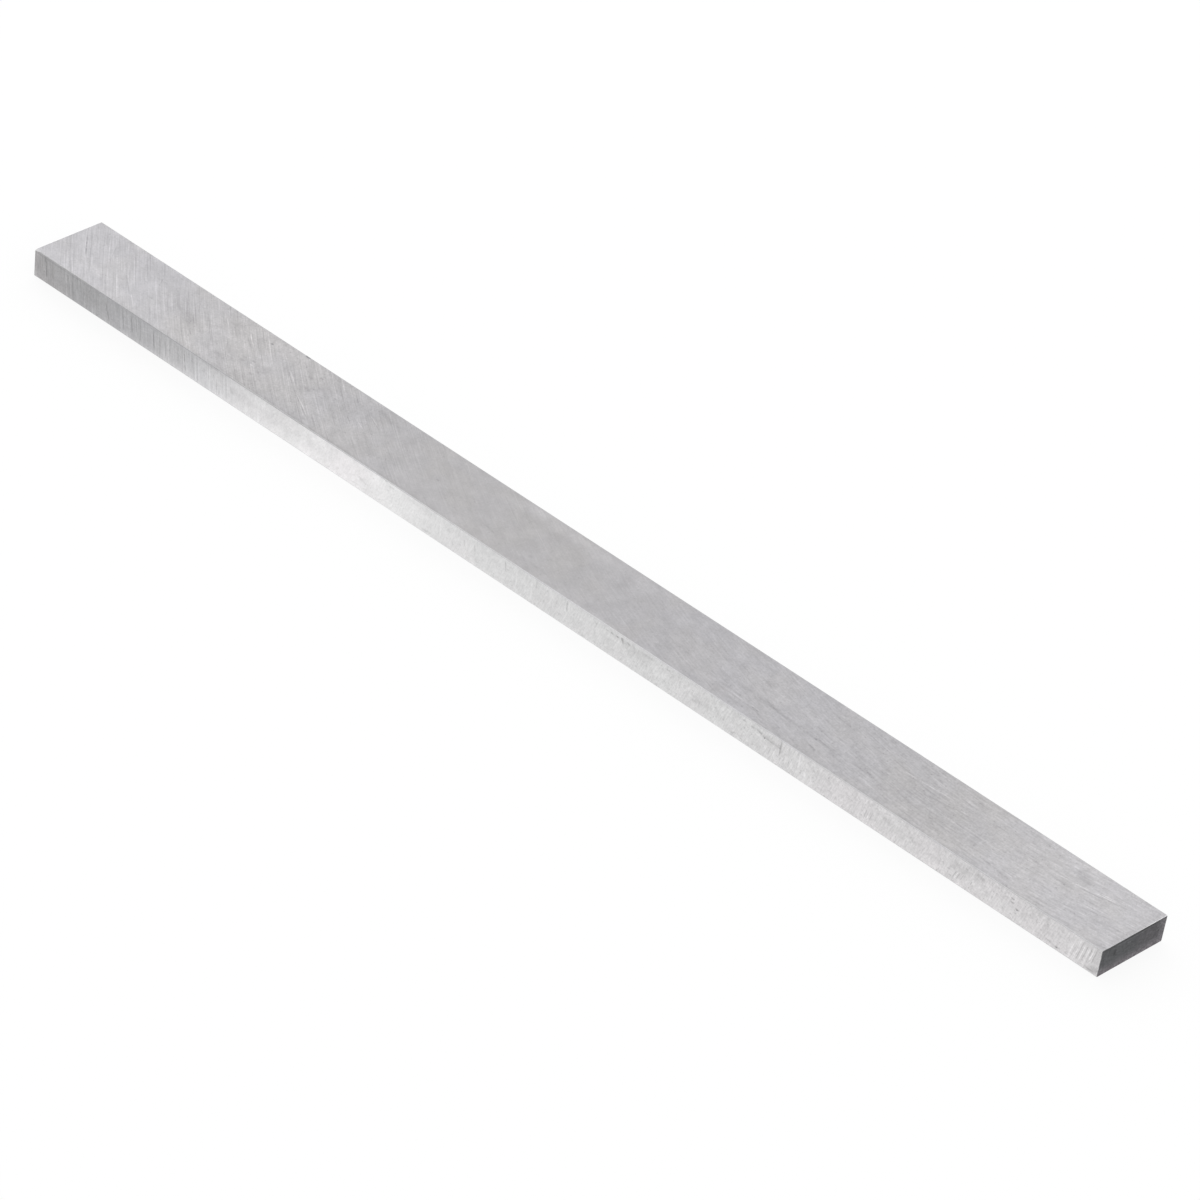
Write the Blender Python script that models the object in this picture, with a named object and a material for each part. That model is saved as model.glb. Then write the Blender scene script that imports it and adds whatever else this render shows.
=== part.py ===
"""A ground high-speed-steel tool bit blank: one flat bar with both ends cut off at the same angle.

Lengths are in metres and angles in degrees, with +Z up. X runs along the bar and Y across its wide faces.
The origin is the middle of the underside, the wide face that the bar lies on.
"""

from math import radians, tan

import bmesh
import bpy
from mathutils import Matrix, Vector

# Driving dimensions of the bar
LENGTH = 0.200  # along each long edge, from cut to cut
WIDTH = 0.012  # across the wide faces
THICKNESS = 0.005  # between the wide faces
END_RAKE = 10.0  # both cuts turn this far from square in plan, so that the back side sits further towards +X

# Edges as the grinder and the cut-off wheel leave them
LONG_EDGE_RADIUS = 0.00012
LONG_EDGE_FACETS = 3
END_CHAMFER = 0.00008

# The one worn corner: top face, front side, -X end. Each size is how far the flat reaches from the sharp corner
WORN_ALONG = 0.0011  # along the front side's top edge
WORN_ACROSS = 0.0006  # along the cut's top edge
WORN_DEPTH = 0.00016  # down the cut's front edge

# Ground steel, as seen on the wide faces
STEEL_COLOUR = (0.56, 0.56, 0.575, 1.0)
STEEL_ROUGHNESS = 0.34
STEEL_METALLIC = 1.0


def clear_scene():
    for found in list(bpy.data.objects):
        bpy.data.objects.remove(found, do_unlink=True)


def ground_steel():
    material = bpy.data.materials.new("ground_steel")
    material.use_nodes = True
    shader = material.node_tree.nodes["Principled BSDF"]
    shader.inputs["Base Color"].default_value = STEEL_COLOUR
    shader.inputs["Roughness"].default_value = STEEL_ROUGHNESS
    shader.inputs["Metallic"].default_value = STEEL_METALLIC
    material.diffuse_color = STEEL_COLOUR
    return material


def rake_matrix():
    """Slides each point along X by its Y, which turns both square ends to the rake and keeps the section."""
    slide = Matrix.Identity(4)
    slide[0][1] = tan(radians(END_RAKE))
    return slide


def lay_out_bar(bm):
    """The plan outline, drawn square, raked at both ends and extruded up to the thickness."""
    bmesh.ops.create_grid(bm, x_segments=1, y_segments=1, size=0.5)
    bmesh.ops.scale(bm, vec=(LENGTH, WIDTH, 1.0), verts=bm.verts)
    bmesh.ops.transform(bm, matrix=rake_matrix(), verts=bm.verts)
    raised = bmesh.ops.extrude_face_region(bm, geom=bm.faces[:])["geom"]
    top = [item for item in raised if isinstance(item, bmesh.types.BMVert)]
    bmesh.ops.translate(bm, vec=(0.0, 0.0, THICKNESS), verts=top)
    bmesh.ops.recalc_face_normals(bm, faces=bm.faces)


def is_long(edge):
    """True for an edge that runs along the bar, from one end to the other."""
    reach = edge.verts[1].co - edge.verts[0].co
    return abs(reach.x) > LENGTH / 2


def round_long_edges(bm):
    edges = [edge for edge in bm.edges if is_long(edge)]
    bmesh.ops.bevel(
        bm,
        geom=edges,
        offset=LONG_EDGE_RADIUS,
        offset_type="OFFSET",
        segments=LONG_EDGE_FACETS,
        profile=0.5,
        affect="EDGES",
        clamp_overlap=True,
        material=-1,
    )


def chamfer_ends(bm):
    """Breaks every edge round the two cuts. A cut's outline is all the edges that don't run along the bar."""
    edges = [edge for edge in bm.edges if not is_long(edge)]
    bmesh.ops.bevel(
        bm,
        geom=edges,
        offset=END_CHAMFER,
        offset_type="OFFSET",
        segments=1,
        profile=0.5,
        affect="EDGES",
        clamp_overlap=True,
        material=-1,
    )


def wear_corner(bm):
    """Cuts the small flat across the worn corner, through one point on each of its three edges."""
    rake = rake_matrix()
    corner = rake @ Vector((-LENGTH / 2, -WIDTH / 2, THICKNESS))
    on_side_edge = corner + Vector((WORN_ALONG, 0.0, 0.0))
    on_cut_edge = corner + (rake @ Vector((0.0, 1.0, 0.0))).normalized() * WORN_ACROSS
    below = corner - Vector((0.0, 0.0, WORN_DEPTH))
    outward = (on_side_edge - below).cross(on_cut_edge - below).normalized()
    if outward.z < 0:
        outward.negate()
    geometry = bm.verts[:] + bm.edges[:] + bm.faces[:]
    cut = bmesh.ops.bisect_plane(bm, geom=geometry, plane_co=below, plane_no=outward, clear_outer=True)
    rim = [item for item in cut["geom_cut"] if isinstance(item, bmesh.types.BMEdge)]
    bmesh.ops.contextual_create(bm, geom=rim)
    bmesh.ops.recalc_face_normals(bm, faces=bm.faces)


def build():
    clear_scene()
    bm = bmesh.new()
    lay_out_bar(bm)
    round_long_edges(bm)
    chamfer_ends(bm)
    wear_corner(bm)
    mesh = bpy.data.meshes.new("tool_bit_blank")
    bm.to_mesh(mesh)
    bm.free()
    mesh.materials.append(ground_steel())
    bar = bpy.data.objects.new("tool_bit_blank", mesh)
    bpy.context.scene.collection.objects.link(bar)


build()
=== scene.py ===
from math import cos, radians, sin, tan

import bmesh
import bpy
from mathutils import Matrix, Quaternion, Vector


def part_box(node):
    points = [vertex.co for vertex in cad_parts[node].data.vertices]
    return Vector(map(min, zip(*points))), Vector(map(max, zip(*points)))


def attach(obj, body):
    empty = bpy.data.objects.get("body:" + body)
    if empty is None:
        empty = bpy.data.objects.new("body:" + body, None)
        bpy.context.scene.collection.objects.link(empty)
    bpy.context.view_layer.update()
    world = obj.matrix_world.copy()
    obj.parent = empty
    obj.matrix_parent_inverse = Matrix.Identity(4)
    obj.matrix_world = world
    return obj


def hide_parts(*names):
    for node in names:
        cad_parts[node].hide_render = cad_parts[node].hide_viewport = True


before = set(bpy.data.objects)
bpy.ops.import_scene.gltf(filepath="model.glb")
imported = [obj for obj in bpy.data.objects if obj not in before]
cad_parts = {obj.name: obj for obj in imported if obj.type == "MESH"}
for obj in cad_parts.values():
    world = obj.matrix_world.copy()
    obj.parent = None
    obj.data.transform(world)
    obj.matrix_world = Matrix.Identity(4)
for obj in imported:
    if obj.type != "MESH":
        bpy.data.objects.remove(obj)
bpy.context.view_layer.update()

# A ground high-speed-steel tool bit blank, lying on a white table. Places and sizes are in metres unless a
# name ends in _MM, and angles are in degrees. X runs along the bar, from the far end to the near end.
MM = 0.001
BAR = "tool_bit_blank"
LOW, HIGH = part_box(BAR)
WIDTH = HIGH.y - LOW.y
THICKNESS = HIGH.z - LOW.z
END_RAKE = 10.0
SLIDE = tan(radians(END_RAKE))
LENGTH = HIGH.x - LOW.x - WIDTH * SLIDE

# The broken edges: fine rounds along the bar, narrow rims round both cut ends, and the worn and the struck
# corner, with how near to a cut a point has to lie to count as on it
LONG_EDGE_RADIUS = 0.00012
LONG_EDGE_SEGMENTS = 5
END_RIM_WIDTH = 0.00005
END_RIM_SEGMENTS = 2
WORN_ALONG = 0.0011
WORN_ACROSS = 0.0006
WORN_DEPTH = 0.00016
STRUCK_SIZE = 0.00020
CUT_TOLERANCE = 1e-8

# Where the camera stands. It looks at a point on the top face, and is rolled so that the bar falls away.
CAMERA_AZIMUTH = 35.06
CAMERA_ELEVATION = 42.10
CAMERA_ROLL = 8.06
CAMERA_DISTANCE = 0.7724
CAMERA_AIM = Vector((0.0074, -0.0027, HIGH.z))
CAMERA_LENS_MM = 164.4
SENSOR_MM = 36.0
NEAR_CLIP = 0.01
FAR_CLIP = 20.0

# Soft lamps: name, azimuth and elevation seen from the bar, distance, width, height, watts. The two behind
# stand either side of what the top face mirrors, so that both ends of the bar catch them.
LAMPS = (
    ("softbox_back_left", 245.0, 36.0, 1.10, 0.45, 0.60, 1.20),
    ("softbox_back_right", 186.0, 46.0, 1.10, 0.45, 0.60, 0.65),
    ("softbox_front", 20.0, 60.0, 1.20, 0.60, 0.50, 1.00),
)
ROOM_LIGHT = 0.96
FLOOR_SIZE = 6.0
FLOOR_GAP = 0.00002
FLOOR_WHITE_SHARE = 0.86
FLOOR_COLOUR = (0.92, 0.92, 0.92, 1.0)
WHITE = (1.0, 1.0, 1.0, 1.0)

# Slots of the bar's surfaces, in the order of its materials, and how squarely a face looks along an axis
TOP_FACE, UNDERSIDE, FRONT_SIDE, BACK_SIDE, CUT_END = range(5)
LONG_EDGE, BACK_EDGE, END_RIM, WORN_CORNER, PIT = range(5, 10)
SQUARELY = 0.9

# What grinding left, along circles about a centre in mm: lines for each mm across, and their length in mm.
# The arcs on both wide faces are circles about a place beside the bar. The sides were ground upright.
WHEEL_CENTRE = {"Centre X": 78.0, "Centre Y": 158.0}
FAR_LINES = {**WHEEL_CENTRE, "Lines per mm": 6.5, "Line length": 4.5}
FAR_BANDS = {**WHEEL_CENTRE, "Lines per mm": 1.7, "Line length": 8.0}
NEAR_LINES = {**WHEEL_CENTRE, "Lines per mm": 3.4, "Line length": 2.6}
UPRIGHT_LINES = {"Centre X": -1195.0, "Centre Y": -102.0, "Lines per mm": 5.2, "Line length": 5.0}
SLANTED_LINES = {"Centre X": -1130.0, "Centre Y": 400.0, "Lines per mm": 4.2, "Line length": 1.5}
CROSSING_LINES = {"Centre X": -846.0, "Centre Y": 894.0, "Lines per mm": 3.0, "Line length": 1.6}
CUT_LINES = {"Centre X": 30.0, "Centre Y": 90.0, "Lines per mm": 3.4, "Line length": 2.0}

# The lines' own unevenness, and the hairlines: how they are stretched, and from where they show
LINE_DETAIL = 3.0
LINE_ROUGHNESS = 0.55
HAIR_STRETCH = (1.10, 0.45, 1.70)
HAIR_DETAIL = 1.0
LIGHT_HAIRS = (0.60, 0.74)
DARK_HAIRS = (0.40, 0.26)

# Seeds: how far each pattern's is from that of its ground face, then those of the cut ends and the edges
BANDS_SEED = 6.0
SHORT_LINES_SEED = 3.0
SLANTED_SEED = 4.0
CROSSING_SEED = 8.0
CUT_LINES_SEED = 9.0
CUT_MOTTLING_SEED = 6.0
EDGE_SEED = 12.0

# How much each kind of unevenness lightens or darkens a surface
WIDE_CONTRAST = {
    "far lines": 0.42,
    "far bands": 0.16,
    "far hairs": 0.16,
    "near lines": 0.42,
    "near hairs": 0.10,
    "grain": 0.40,
    "blotches": 0.30,
    "clouds": 0.20,
    "spots": -0.18,
}
SIDE_CONTRAST = {
    "upright lines": 0.62,
    "upright hairs": 0.17,
    "slanted lines": 0.50,
    "crossing lines": 0.16,
    "grain": 0.40,
    "blotches": 0.30,
    "clouds": 0.24,
    "spots": -0.20,
}
END_CONTRAST = {
    "scorch": -0.26,
    "lines": 0.60,
    "grain": 1.00,
    "grain low and back": 1.00,
    "blotches": 0.60,
    "clouds": 0.40,
}

# How deep the relief is on the ground faces, on the cut ends and on the edges
FINISH_DEPTH_MM = 0.010
CUT_DEPTH_MM = 0.020
EDGE_DEPTH_MM = 0.006

# The ground faces' roughness: its mean, its least, and what the clouds add. Then the cut ends' two values.
GROUND_ROUGHNESS = 0.34
LEAST_ROUGHNESS = 0.26
CLOUDED_ROUGHNESS = 0.16
CUT_ROUGHNESS = 0.52
CUT_METALLIC = 0.9

# Grain, blotches, clouds, spots and the drift of the tint: how many for each mm, and their detail
GRAIN = (3.2, 2.0)
BLOTCHES = (1.3, 3.0)
CLOUDS = (0.45, 3.0)
SPOTS = (2.4, 1.0)
DRIFT = (0.16, 2.0)
SPOT_RANGE = (0.34, 0.26)
DRIFT_RANGE = (0.36, 0.64)

# What these do to others, as a factor and what is added: clouds to the lines, drift to the two tints, and
# grain to the borders on the cut ends
CLOUDS_ON_LINES = (0.9, 0.55)
DRIFT_ON_WARMTH = (0.5, -0.25)
DRIFT_ON_PINKNESS = (0.4, -0.2)
RAGGED_MM = (1.2, -0.6)

# Marks from this half width up are smudges: they don't break up, and show at this strength all along. The
# rest weaken to a share where they break. All fade to their tips from a share of their half length.
SMUDGE_HALF_WIDTH_MM = 0.5
SMUDGE_STRENGTH = 0.80
DARKEST_MARK = 0.25
TIP_FADE = 0.4
BREAKS_PER_MM = 0.7
BREAK_RANGE = (0.34, 0.50)
WEAKEST_SHARE = 0.35

# Hairlines and smudges on the top face: start x, y, end x, y, half width, and how much lighter or darker
TOP_MARKS_MM = (
    (-98.4, 2.4, -94.8, -1.7, 0.14, -0.44), (-97.4, 2.1, -94.4, -1.3, 0.12, 0.14),
    (-93.7, 4.1, -91.3, -0.3, 0.14, -0.10), (-88.0, 0.3, -85.2, -2.2, 0.13, 0.22),
    (-84.4, -2.7, -81.6, -5.1, 0.14, 0.28), (-87.4, -0.4, -84.2, -3.3, 0.12, -0.18),
    (-83.5, 3.3, -82.6, 1.4, 0.14, -0.20), (-83.1, 1.7, -82.6, 1.7, 0.20, -0.20),
    (-80.6, 1.0, -80.0, 1.0, 0.22, -0.20), (-77.2, 5.4, -73.6, 1.9, 0.13, 0.16),
    (-75.9, 3.3, -74.4, 1.2, 0.13, -0.20), (-74.6, 2.4, -72.9, 0.9, 0.12, 0.16),
    (-81.0, 3.4, -70.4, -3.0, 1.80, -0.11), (-79.4, 1.1, -72.4, -1.3, 1.25, -0.10),
    (-74.5, -1.2, -69.6, -3.8, 0.80, -0.08), (-72.8, -2.4, -71.3, -3.5, 0.13, -0.22),
    (-72.0, 4.4, -68.9, 2.1, 0.13, 0.20), (-71.8, 4.9, -67.8, 3.3, 1.20, -0.10),
    (-67.6, 0.4, -65.6, -1.8, 0.13, -0.18), (-66.4, 3.8, -62.6, 0.9, 0.13, 0.20),
    (-65.9, 2.8, -63.8, 1.2, 0.13, -0.22), (-67.2, -3.2, -64.2, -3.8, 0.60, -0.08),
    (-63.2, -1.8, -62.2, -1.8, 0.45, -0.16), (-61.7, -0.8, -60.8, -0.8, 0.40, -0.16),
    (-59.7, -2.2, -58.9, -2.2, 0.40, -0.14), (-62.6, -0.6, -61.9, -0.6, 0.22, 0.18),
    (-61.3, -1.6, -60.6, -1.7, 0.22, 0.18), (-60.2, -3.1, -59.4, -3.2, 0.30, -0.16),
    (-60.8, 0.6, -57.0, 0.0, 1.20, 0.07), (-60.0, 4.3, -56.8, 2.1, 0.14, 0.22),
    (-56.6, 1.9, -53.5, -0.3, 0.13, 0.26), (-57.0, 1.9, -53.7, -0.6, 0.12, -0.26),
    (-53.6, -0.7, -49.8, -3.0, 0.13, -0.28), (-52.6, -1.3, -49.4, -3.0, 0.14, 0.26),
    (-50.3, -2.4, -47.3, -4.3, 0.13, 0.26), (-50.0, -2.8, -47.6, -4.4, 0.12, -0.30),
    (-50.2, -3.0, -47.6, -4.7, 0.12, 0.20), (-53.8, 2.7, -52.4, 2.7, 0.50, -0.16),
    (-52.3, 3.7, -51.4, 3.7, 0.35, -0.18), (-52.3, 0.6, -50.9, 0.1, 0.45, -0.18),
    (-51.0, 1.9, -50.2, 1.9, 0.30, -0.16), (-52.9, 0.9, -52.3, 0.8, 0.20, 0.18),
    (-47.8, 1.8, -47.2, 1.8, 0.24, -0.16), (-45.4, 3.8, -44.4, 3.8, 0.50, -0.14),
    (-43.9, 0.4, -42.3, -0.6, 0.14, -0.28), (-43.2, 1.1, -39.2, -0.6, 0.14, 0.18),
    (-41.9, 3.1, -38.4, 1.5, 0.14, 0.16), (-41.4, 2.7, -38.2, 1.3, 0.13, -0.16),
    (-41.8, 5.1, -36.4, 3.3, 0.60, -0.14), (-33.8, -2.4, -32.6, -3.5, 0.12, -0.16),
    (-25.7, -0.5, -24.9, -0.5, 0.36, -0.14), (-15.4, -2.5, -11.6, -3.2, 0.25, -0.10),
    (-5.8, -3.0, -4.8, -3.0, 0.45, -0.10), (-5.4, -4.0, 0.0, -4.3, 0.35, -0.07),
    (18.5, -3.7, 19.6, -3.7, 0.25, -0.16), (21.0, -1.8, 21.7, -1.8, 0.24, -0.16),
    (25.8, -2.5, 35.0, -3.0, 0.13, 0.12), (26.6, -2.9, 36.4, -3.4, 0.12, -0.11),
    (27.2, -3.3, 37.4, -3.8, 0.13, 0.12), (28.6, -3.7, 38.6, -4.2, 0.14, -0.11),
    (30.0, -4.6, 37.2, -4.7, 0.30, -0.08), (28.5, -1.25, 42.0, -1.9, 0.66, -0.13),
    (37.5, -1.8, 51.4, -2.45, 0.40, -0.13), (35.2, 1.3, 39.4, 0.8, 0.16, 0.10),
    (35.8, -3.8, 37.8, -3.95, 0.14, -0.30), (35.6, -3.55, 37.6, -3.7, 0.14, 0.16),
    (41.1, -4.3, 41.7, -4.3, 0.26, -0.15), (46.0, -2.3, 46.7, -2.35, 0.28, -0.30),
    (46.1, -3.8, 48.1, -4.3, 0.32, -0.17), (53.2, 5.2, 56.8, 4.8, 0.35, -0.10),
    (53.0, -2.2, 57.8, -2.6, 0.24, -0.12), (55.2, -1.8, 56.4, -1.9, 0.14, 0.24),
    (55.2, -2.15, 56.6, -2.3, 0.18, -0.20), (56.8, 1.6, 67.8, 2.2, 0.15, 0.20),
    (57.0, 1.1, 63.0, 1.6, 0.18, -0.08), (61.5, 4.5, 63.5, 4.5, 0.32, -0.12),
    (63.2, 0.2, 70.2, 1.1, 0.24, -0.14), (67.9, 0.0, 69.6, -0.1, 0.50, -0.12),
    (68.4, 1.1, 70.6, 1.4, 0.13, 0.18), (69.8, 4.5, 70.8, 4.5, 0.32, -0.12),
    (73.6, -0.4, 74.4, -3.9, 1.10, -0.07), (77.2, -4.0, 78.5, -4.0, 0.32, -0.20),
    (79.8, -4.3, 82.2, -4.4, 0.32, -0.20), (82.2, -3.4, 83.2, -3.4, 0.40, -0.14),
    (78.6, -3.5, 80.4, -3.6, 0.16, 0.16), (80.6, -3.7, 82.0, -3.8, 0.15, 0.18),
    (85.1, 1.0, 88.0, 1.6, 0.14, 0.22), (88.1, 1.4, 91.0, 1.95, 0.14, 0.24),
    (91.1, 2.05, 95.2, 2.75, 0.12, 0.34), (91.6, 2.45, 95.4, 3.05, 0.11, 0.30),
    (89.0, 1.25, 93.8, 2.1, 0.14, -0.28), (86.9, 4.6, 90.7, 2.2, 1.35, -0.19),
    (86.6, 1.6, 89.1, -0.7, 1.10, -0.10), (84.6, -5.1, 89.0, -5.2, 0.30, -0.10),
    (90.6, -1.3, 97.2, 0.2, 0.14, 0.14), (91.0, -1.7, 96.9, -0.2, 0.15, -0.18),
    (86.0, -3.9, 95.0, -1.9, 0.20, 0.09), (87.0, -3.2, 92.6, -2.2, 0.16, -0.12),
    (95.8, 1.7, 97.6, 1.5, 0.12, 0.16), (96.0, 2.2, 97.6, 2.1, 0.12, 0.14),
    (98.18, -7.5, 100.82, 7.5, 0.50, -0.07),
)

# Wide soft patches of the top face, in the same form
TOP_PATCHES_MM = (
    (-102.0, 3.5, -74.0, 3.5, 2.7, -0.065), (-101.0, -2.6, -94.5, -2.6, 3.2, -0.05),
    (-71.0, -5.3, -43.0, -5.3, 1.9, -0.06), (-71.0, 4.9, -52.0, 4.9, 2.3, 0.08),
    (-70.0, 0.6, -53.0, 0.6, 2.1, 0.04), (-47.0, 3.6, -31.0, 3.6, 2.7, -0.055),
    (-46.0, 0.0, -34.0, 0.0, 1.7, 0.05), (-20.0, 5.0, 18.0, 5.0, 2.0, 0.12),
    (17.0, 0.0, 54.0, 0.0, 2.6, 0.055), (27.0, 3.0, 42.0, 3.0, 1.9, 0.045),
    (54.0, -5.0, 82.0, -5.0, 1.9, 0.035), (56.0, -0.6, 78.0, -0.6, 3.2, -0.035),
    (75.0, -2.6, 87.0, -2.6, 1.7, 0.05), (83.0, 5.0, 92.0, 5.0, 1.7, 0.06),
    (89.0, -2.4, 103.0, -2.4, 2.2, -0.04),
)

# Marks on the front side, in the same form with x and z
FRONT_MARKS_MM = (
    (-98.8, 4.9, -98.3, 0.5, 0.18, -0.26), (-98.55, 3.0, -98.4, 0.3, 0.11, -0.30),
    (-99.65, 4.9, -99.35, 3.3, 0.14, -0.26), (-98.95, 4.8, -98.7, 3.5, 0.12, -0.24),
    (-99.2, 3.2, -99.05, 1.9, 0.12, 0.16), (-100.3, 3.0, -100.2, 1.5, 0.14, -0.18),
    (-94.25, 4.4, -94.05, 2.5, 0.12, -0.18), (-93.9, 4.4, -93.7, 2.5, 0.12, 0.12),
    (-103.0, 4.62, -88.0, 4.62, 0.20, -0.11), (-97.6, 4.4, -97.2, 1.4, 0.36, -0.16),
    (-93.3, 4.0, -92.8, 0.6, 0.16, -0.22), (-91.2, 2.8, -88.2, 2.4, 0.40, -0.10),
    (-86.4, 4.2, -85.4, 0.4, 0.17, -0.30), (-86.0, 4.2, -85.0, 0.4, 0.12, 0.14),
    (-83.0, 4.9, -82.4, 0.4, 0.15, -0.26), (-81.2, 4.9, -80.6, 0.5, 0.18, -0.36),
    (-80.1, 4.8, -79.9, 1.5, 0.14, -0.22), (-79.3, 4.9, -78.9, 0.4, 0.15, -0.26),
    (-76.7, 4.9, -76.1, 0.4, 0.18, -0.34), (-75.3, 4.5, -74.9, 0.9, 0.15, -0.12),
    (-74.2, 4.5, -73.8, 0.5, 0.14, -0.26), (-73.3, 4.7, -73.0, 0.9, 0.14, -0.22),
    (-71.7, 5.0, -71.3, 1.2, 0.34, -0.18), (-70.4, 4.9, -69.8, 0.4, 0.17, -0.38),
    (-68.9, 5.0, -68.5, 2.2, 0.50, -0.07), (-64.3, 3.2, -64.0, 0.2, 0.18, 0.16),
    (-63.7, 3.2, -63.4, 0.2, 0.14, -0.14), (-61.1, 3.4, -60.3, 2.0, 0.45, -0.13),
    (-86.0, 0.9, -72.0, 4.9, 0.12, 0.09), (-68.0, 4.75, -60.8, 4.75, 0.40, -0.14),
    (-100.6, 6.5, -100.6, -1.5, 0.50, 0.10), (-36.4, 2.6, -32.8, 1.6, 0.34, -0.08),
    (-37.2, 0.7, -34.8, 0.95, 0.24, -0.10), (-30.6, 4.8, -30.0, 4.8, 0.22, -0.24),
    (-30.0, 4.3, -28.5, 4.3, 0.30, -0.13), (-26.0, 4.3, -24.4, 4.3, 0.30, -0.10),
    (-23.3, 0.5, -21.1, 0.8, 0.30, -0.12), (-19.7, 4.4, -19.5, 0.8, 0.18, 0.09),
    (-18.9, 3.2, -17.6, 3.2, 0.70, -0.05), (-15.2, 3.8, -15.0, 2.1, 0.15, -0.20),
    (-14.8, 3.8, -14.6, 2.1, 0.14, 0.12), (-13.2, 4.2, -13.0, 2.1, 0.15, -0.20),
    (-7.5, 4.9, -7.1, 2.4, 0.22, -0.26), (-5.3, 5.4, -5.1, -0.2, 0.26, 0.10),
    (-2.4, 5.4, -2.2, 0.6, 0.26, 0.08), (-1.6, 5.6, -1.4, 2.9, 0.24, -0.12),
    (1.6, 3.3, 4.4, 4.0, 0.80, -0.08), (4.2, 4.9, 4.3, 2.4, 0.24, -0.22),
    (11.4, 4.2, 12.0, 4.2, 0.22, -0.20), (12.3, 4.3, 12.9, 4.15, 0.26, -0.26),
    (13.2, 4.25, 13.9, 4.2, 0.24, -0.28), (14.3, 4.7, 14.7, 3.4, 0.32, -0.34),
    (12.0, 4.15, 16.6, 4.05, 0.65, -0.13), (15.2, 4.45, 16.1, 4.0, 0.24, -0.20),
    (16.6, 4.4, 16.8, 3.6, 0.20, -0.20), (15.2, 3.1, 16.6, 2.2, 0.70, -0.10),
    (17.8, 4.2, 20.9, 4.2, 0.42, -0.15), (22.6, 4.2, 23.4, 4.2, 0.28, -0.22),
    (27.4, 1.8, 28.6, 1.8, 0.42, -0.16), (27.4, 2.3, 31.6, 2.2, 1.05, -0.13),
    (36.4, 4.2, 37.2, 4.2, 0.26, -0.22), (37.9, 4.0, 38.7, 4.0, 0.26, -0.24),
    (38.0, 4.1, 43.8, 3.5, 0.62, -0.13), (38.9, 4.1, 40.1, 3.8, 0.32, -0.32),
    (40.0, 3.7, 41.4, 3.5, 0.26, -0.16), (40.8, 3.5, 43.8, 3.4, 0.24, -0.22),
    (43.4, 5.2, 43.3, 1.8, 0.24, -0.30), (41.2, 3.0, 40.8, 1.2, 0.14, 0.14),
    (41.9, 3.0, 41.5, 1.2, 0.14, -0.18), (42.6, 3.0, 42.2, 1.2, 0.14, 0.14),
    (44.0, 1.2, 44.3, 2.7, 0.11, -0.22), (44.4, 1.2, 44.7, 2.7, 0.11, 0.10),
    (44.9, 1.3, 45.2, 2.8, 0.11, -0.22), (45.3, 1.3, 45.6, 2.8, 0.11, 0.10),
    (46.8, 5.2, 46.6, 0.4, 0.22, 0.12), (48.1, 5.2, 47.9, 0.4, 0.18, 0.11),
    (55.0, 2.6, 56.0, 2.6, 0.40, -0.14), (56.3, 3.4, 57.3, 3.2, 0.40, -0.14),
    (58.5, 0.8, 58.9, 3.1, 0.13, -0.26), (59.0, 0.8, 59.4, 3.1, 0.13, 0.24),
    (59.4, 0.8, 59.9, 3.1, 0.13, -0.26), (61.9, 4.3, 62.7, 4.3, 0.26, -0.30),
    (61.2, 3.1, 63.2, 3.0, 0.80, -0.12), (66.2, 3.1, 68.0, 2.2, 0.75, -0.12),
    (73.3, 3.8, 76.8, 2.7, 1.10, -0.16), (73.4, 2.5, 74.4, 2.6, 0.40, -0.20),
    (74.0, 0.6, 74.6, 2.6, 0.12, -0.28), (74.3, 0.6, 74.9, 2.6, 0.10, 0.26),
    (74.6, 0.6, 75.2, 2.6, 0.12, -0.28), (75.2, 0.6, 75.8, 2.6, 0.12, -0.28),
    (77.0, 2.4, 77.5, 4.6, 0.16, 0.16), (77.0, 1.4, 77.3, 2.4, 0.16, -0.28),
    (77.3, 4.3, 79.6, 3.6, 0.60, -0.16), (83.5, 4.0, 84.3, 3.9, 0.26, -0.34),
    (83.6, 3.3, 84.3, 3.2, 0.24, -0.36), (84.5, 2.6, 85.3, 2.5, 0.28, -0.32),
    (87.2, 4.6, 87.5, 2.2, 0.42, -0.12), (90.1, 5.4, 89.7, 1.6, 0.80, -0.15),
    (88.0, 1.0, 93.2, 0.7, 0.32, -0.12), (90.0, 0.95, 91.0, 0.8, 0.28, -0.20),
    (91.5, 0.65, 92.6, 0.6, 0.28, -0.22), (96.5, 0.6, 98.6, 0.4, 0.30, -0.24),
    (93.9, 0.2, 94.8, 5.0, 0.14, 0.18), (94.3, 0.2, 95.2, 5.0, 0.11, -0.18),
    (94.7, 0.2, 95.6, 5.0, 0.12, 0.28), (95.1, 0.2, 96.0, 5.0, 0.11, -0.30),
    (95.5, 0.2, 96.4, 5.0, 0.13, 0.30), (95.9, 0.2, 96.8, 5.0, 0.11, -0.28),
    (96.3, 0.2, 97.2, 5.0, 0.12, 0.24), (96.7, 0.6, 97.5, 5.0, 0.11, -0.28),
    (97.1, 1.4, 97.8, 5.0, 0.13, 0.22), (97.6, 1.4, 98.2, 5.0, 0.12, -0.26),
    (98.3, 7.0, 98.3, -2.0, 1.00, -0.15),
)

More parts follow.
